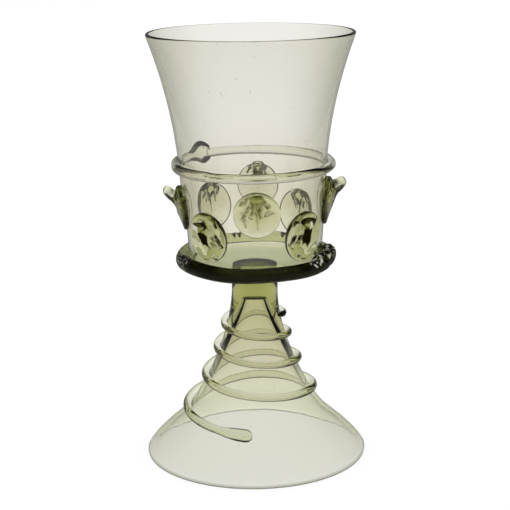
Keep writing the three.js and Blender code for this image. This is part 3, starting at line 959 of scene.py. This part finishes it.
def marks(shader, name):
    """What a piece's own attribute says at each place."""
    return shader.node("ShaderNodeAttribute", {"attribute_name": name}, output="Fac")


def surfaces_passed(shader):
    """How many surfaces of glass lie in front."""
    return shader.node("ShaderNodeLightPath", output="Transmission Depth")


def glass_material(name, dark_lines, band_end=0.3, fade_from=None, edges=False, zones=(),
                   shade_and_glint=0.0, shade_strength=0.0, nose_shading=False, pale_glints=False, ripple=0.015, seeds=0.0,
                   density=ABSORB_DENSITY, gloss=0.12, seen_direct=False, seen_dark=0.0):
    """Pale olive glass. Dark lines are how strongly painted shade darkens it where it would
    mirror the studio's unlit sides from within, up to a slant of band_end. They can fade out
    downwards, from a height to half that height, and with seen_direct they show only behind
    little other glass. With edges it takes a painted shade where it is seen slanting. The marked
    attribute holds painted shade and, below 0, painted highlights: marked is how much it tints
    the glass, ink how much it darkens it with painted shade, and frosted lets it paint the glass
    pale. With pockets it takes the painted shade under a nose, and seen_dark paints shade on
    glass with none in front. Ripple and seeds are how strong its waves and its small bubbles are."""
    material = bpy.data.materials.new(name)
    shader = Shader(material)
    place = shader.node("ShaderNodeTexCoord", output="Object")
    slant = shader.node("ShaderNodeLayerWeight", inputs={"Blend": 0.5}, output="Facing")
    height = shader.node("ShaderNodeSeparateXYZ", inputs={"Vector": place}, output="Z")
    tint = zoned(shader, height, zones)
    # Painted shade on the edges: the glass takes a darker tint where it is seen slanting.
    if edges:
        tint = mixed(shader, smooth_between(shader, slant, *EDGE_SLANT), tint, tint, EDGE_SHADE_TINT)
    # The attribute's painted shade tints the glass.
    if shade_and_glint:
        pressed_and_shaded = marks(shader, "shade_and_glint")
        tint = mixed(shader, shade_and_glint * pressed_and_shaded, tint, SHADE_AND_SEED_TINT)
    if seeds:
        tint = mixed(shader, seeds * seeds_at(shader, place), tint, SHADE_AND_SEED_TINT)
    clear = shader.node("ShaderNodeBsdfPrincipled", inputs={
        "Base Color": tint, "Roughness": 0, "IOR": GLASS_IOR, "Specular IOR Level": gloss,
        "Transmission Weight": 1, "Normal": rippled(shader, place, ripple)})
    # Painted shade: a near-black diffuse is mixed in where the glass would mirror the unlit
    # sides, and by the painted marks below.
    shade = unlit_sides(shader, slant, band_end) * dark_lines
    if fade_from:
        shade = shade * smooth_between(shader, height, fade_from / 2, fade_from)
    if seen_direct:
        shade = shade * shader.maths("LESS_THAN", surfaces_passed(shader), 2.5)
    # The attribute's painted shade also mixes in the near-black colour.
    if shade_strength:
        shade = shader.maths("MAXIMUM", shade, shade_strength * pressed_and_shaded)
    # The painted shade under a nose mixes in the near-black colour.
    if nose_shading:
        shade = shader.maths("MAXIMUM", shade, marks(shader, "nose_shade"))
    # Painted shade: glass that nothing lies in front of takes the near-black colour by seen_dark.
    if seen_dark:
        first = shader.maths("LESS_THAN", surfaces_passed(shader), 0.5)
        shade = shader.maths("MAXIMUM", shade, seen_dark * first)
    dark = shader.node("ShaderNodeBsdfDiffuse", inputs={"Color": PAINTED_SHADE_COLOR})
    surface = shader.node("ShaderNodeMixShader", inputs={0: shade, 1: clear, 2: dark})
    # Painted highlights: a pale diffuse is mixed in where the attribute is below 0.
    if pale_glints:
        pale = shader.node("ShaderNodeBsdfDiffuse", inputs={"Color": GLINT_COLOR})
        glint = smooth_between(shader, 0.0 - pressed_and_shaded, *GLINT_EDGE) * GLINT_STRENGTH
        surface = shader.node("ShaderNodeMixShader", inputs={0: glint, 1: surface, 2: pale})
    volume = shader.node("ShaderNodeVolumeAbsorption", inputs={
        "Color": ABSORB_COLOR, "Density": density})
    shader.node("ShaderNodeOutputMaterial", inputs={"Surface": surface, "Volume": volume})
    return material


def bright_field(shader, height, mirror, first, second):
    """How bright the studio is in the direction that the glass shows: a white backdrop all
    round, dim overhead. Mirror is the share of it that a surface mirrors. The first surface
    mirrors a share of that, first, and glass behind one wall mirrors more of it, by second.
    A comparison with half a surface more or less tells how many surfaces lie in front."""
    start, end = FIELD_RISE
    lit = shader.node("ShaderNodeMapRange", {"interpolation_type": "SMOOTHSTEP"}, {
        "Value": height, "From Min": start, "From Max": end, "To Min": 1.0, "To Max": FIELD_TOP})
    mirrored = shader.node("ShaderNodeLightPath", output="Glossy Depth")
    passed = surfaces_passed(shader)
    near = shader.maths("COMPARE", passed, 2.0, 0.5)
    direct = shader.maths("LESS_THAN", mirrored, 0.5)
    outer = shader.maths("LESS_THAN", passed, 0.5)
    deep = shader.maths("GREATER_THAN", passed, 5.5)
    indirect = (1 - (1 - first) * outer) * (mirror + near * second + deep * DEEP_SHARE)
    return lit * (direct + (1 - direct) * indirect)


def make_world():
    """White where the camera looks past the glass, a bright field in the glass, and a plain
    soft light for the rest."""
    world = bpy.data.worlds.new("studio")
    bpy.context.scene.world = world
    shader = Shader(world)
    way = shader.node("ShaderNodeTexCoord", output="Generated")
    height = shader.node("ShaderNodeSeparateXYZ", inputs={"Vector": way}, output="Z")
    camera = shader.node("ShaderNodeLightPath", output="Is Camera Ray")
    diffuse = shader.node("ShaderNodeLightPath", output="Is Diffuse Ray")
    plain = shader.maths("MAXIMUM", camera, diffuse)
    bright = bright_field(shader, height, mirror=0.24, first=0.6, second=0.38)
    field = shader.node("ShaderNodeBackground", inputs={"Color": FIELD_COLOR, "Strength": bright})
    white = shader.node("ShaderNodeBackground", inputs={"Color": WHITE, "Strength": 1})
    both = shader.node("ShaderNodeMixShader", inputs={0: plain, 1: field, 2: white})
    shader.node("ShaderNodeOutputWorld", inputs={"Surface": both})


def make_floor():
    """White as seen by the camera, and as bright as the field low down when seen in the glass."""
    bm = bmesh.new()
    bmesh.ops.create_grid(bm, x_segments=1, y_segments=1, size=FLOOR_HALF)
    mesh = bpy.data.meshes.new("floor")
    bm.to_mesh(mesh)
    bm.free()
    floor = bpy.data.objects.new("floor", mesh)
    bpy.context.scene.collection.objects.link(floor)
    material = bpy.data.materials.new("floor_white")
    shader = Shader(material)
    camera = shader.node("ShaderNodeLightPath", output="Is Camera Ray")
    bright = bright_field(shader, 0.0, mirror=0.8, first=0.12, second=0.1)
    glow = camera + (1 - camera) * bright
    matt = shader.node("ShaderNodeBsdfDiffuse", inputs={"Color": FLOOR_COLOR})
    light = shader.node("ShaderNodeEmission", inputs={
        "Color": WHITE, "Strength": glow * FLOOR_GLOW})
    both = shader.node("ShaderNodeAddShader", inputs={0: matt, 1: light})
    shader.node("ShaderNodeOutputMaterial", inputs={"Surface": both})
    mesh.materials.append(material)


def make_camera():
    """The photograph's view: a square frame, from a little above the mouth, tipped down."""
    data = bpy.data.cameras.new("camera")
    data.sensor_width = CAMERA_SENSOR
    data.lens = CAMERA_LENS
    data.clip_start = CAMERA_NEAR
    camera = bpy.data.objects.new("camera", data)
    bpy.context.scene.collection.objects.link(camera)
    tip = Matrix.Rotation(math.radians(90 - CAMERA_TIP), 4, "X")
    roll = Matrix.Rotation(math.radians(CAMERA_ROLL), 4, "Z")
    camera.matrix_world = Matrix.Translation(CAMERA_PLACE) @ tip @ roll
    bpy.context.scene.camera = camera


# The goblet in its studio
make_camera()
make_world()
make_floor()
make_foot(glass_material("foot_olive", 1.0, band_end=0.35, fade_from=58 * MM, zones=FOOT_ZONES,
                         ripple=0.03, seeds=0.4, seen_direct=True))
make_bowl(glass_material("bowl_olive", 0.25, edges=True, zones=BOWL_ZONES, seeds=0.55,
                         gloss=0.1))
make_thread(glass_material("thread_olive", 0.05, shade_and_glint=1.0, shade_strength=1.0, pale_glints=True,
                           density=0.4 * ABSORB_DENSITY, gloss=0.05))
make_collar(glass_material("collar_olive", 1.0, band_end=0.9, shade_and_glint=1.0, shade_strength=1.0, ripple=0.1,
                           density=1.6 * ABSORB_DENSITY, pale_glints=True, seen_dark=0.5))
make_trail(glass_material("trail_olive", 0.2, density=0.75 * ABSORB_DENSITY))
front_glass = glass_material("prunt_front_olive", 0.95, shade_and_glint=1.0, shade_strength=0.35,
                             density=1.9 * ABSORB_DENSITY)
low_glass = glass_material("prunt_low_olive", 0.95, shade_and_glint=1.0, shade_strength=1.0, nose_shading=True,
                           pale_glints=True, density=1.9 * ABSORB_DENSITY)
far_glass = glass_material("prunt_far_olive", 0.95, shade_and_glint=1.0, shade_strength=1.0,
                           density=1.15 * ABSORB_DENSITY)
for side, (azimuth, below, size) in UPPER_PRUNTS.items():
    make_prunt("upper", side, azimuth, THREAD_UNDERSIDE - below - R * size, size,
               front_glass if side == "front" else far_glass)
for side, (azimuth, above, size, sag, lean) in LOWER_PRUNTS.items():
    make_prunt("lower", side, azimuth, COLLAR_TOP + above + R * size * LOWER_TALL, size,
               low_glass if side in NOSE_SHADES else far_glass, sag, lean)

scene = bpy.context.scene
scene.view_settings.view_transform = "Standard"
scene.cycles.max_bounces = LIGHT_BOUNCES
scene.cycles.transmission_bounces = LIGHT_BOUNCES
scene.cycles.glossy_bounces = MIRROR_BOUNCES
